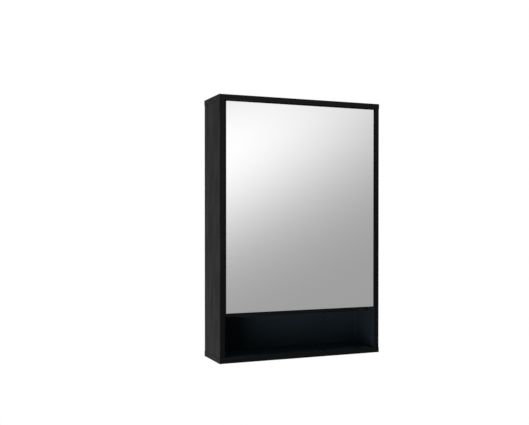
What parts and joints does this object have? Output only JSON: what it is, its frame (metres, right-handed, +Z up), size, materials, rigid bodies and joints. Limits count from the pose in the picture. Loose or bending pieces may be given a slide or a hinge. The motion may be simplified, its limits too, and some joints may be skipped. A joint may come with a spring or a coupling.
{
  "type": "wall mirror cabinet",
  "caption": "Wall-hung bathroom cabinet with a pivoting mirror door over an open niche, adjustable shelves inside and a hanging rail behind.",
  "frame": {"origin": "midway between the two hanging holes, on the wall plane (the hanging rail's rear face)", "axes": "+Z up, +Y back into the wall, +X to the right of a person facing the mirror"},
  "size_m": [0.5016, 0.136, 0.74],
  "materials": {
    "board_charcoal": "charcoal wood-grain melamine, silk matt",
    "edging_black": "smooth black plastic edging, satin",
    "back_black": "black lacquered hardboard, satin",
    "mirror_silver": "silvered float glass, polished",
    "tape_black": "closed-cell foam tape",
    "steel_zinc": "zinc-plated steel",
    "steel_black": "black powder-coated steel",
    "cam_zinc": "die-cast zinc",
    "dowel_beech": "fluted beech, raw",
    "nylon_black": "black nylon",
    "plastic_black": "moulded black plastic",
    "magnet_grey": "sintered ferrite",
    "pad_clear": "soft clear rubber"
  },
  "bodies": {
    "cabinet": {"top_panel": "board_charcoal", "bottom_panel": "board_charcoal", "left_side_panel": "board_charcoal", "right_side_panel": "board_charcoal", "divider": "board_charcoal", "back_panel": "back_black", "hanging_rail": "board_charcoal", "lower_rail": "board_charcoal", "lower_shelf": "board_charcoal", "upper_shelf": "board_charcoal", "top_edging": "edging_black", "bottom_edging": "edging_black", "left_edging": "edging_black", "right_edging": "edging_black", "divider_edging": "edging_black", "shelf_edgings": "edging_black", "carcass_screws": "steel_zinc", "screw_caps": "plastic_black", "carcass_dowels": "dowel_beech", "divider_dowels": "dowel_beech", "rail_dowels": "dowel_beech", "cam_housings": "cam_zinc", "cam_bolts": "steel_zinc", "shelf_pins": "steel_zinc", "upper_pivot_plate": "steel_zinc", "lower_pivot_bracket": "steel_black", "upper_pivot_pin": "steel_zinc", "lower_pivot_pin": "steel_zinc", "pivot_washer": "nylon_black", "pivot_screws": "steel_black", "catch_housing": "plastic_black", "catch_magnet": "magnet_grey", "catch_screws": "steel_zinc", "door_stops": "plastic_black", "bumper_pads": "pad_clear", "stop_screws": "steel_zinc", "back_panel_screws": "steel_zinc"},
    "door": {"door_board": "board_charcoal", "door_edgings": "edging_black", "mirror_glass": "mirror_silver", "mirror_tapes": "tape_black", "pivot_bushes": "nylon_black", "strike_plate": "steel_zinc", "strike_screws": "steel_zinc"}
  },
  "joints": [
    {"name": "door_swing", "type": "hinge", "parent": "cabinet", "child": "door", "pos_m": [0.22099, -0.128, 0], "axis": [0, 0, 1], "range_deg": [0, 110]}
  ]
}
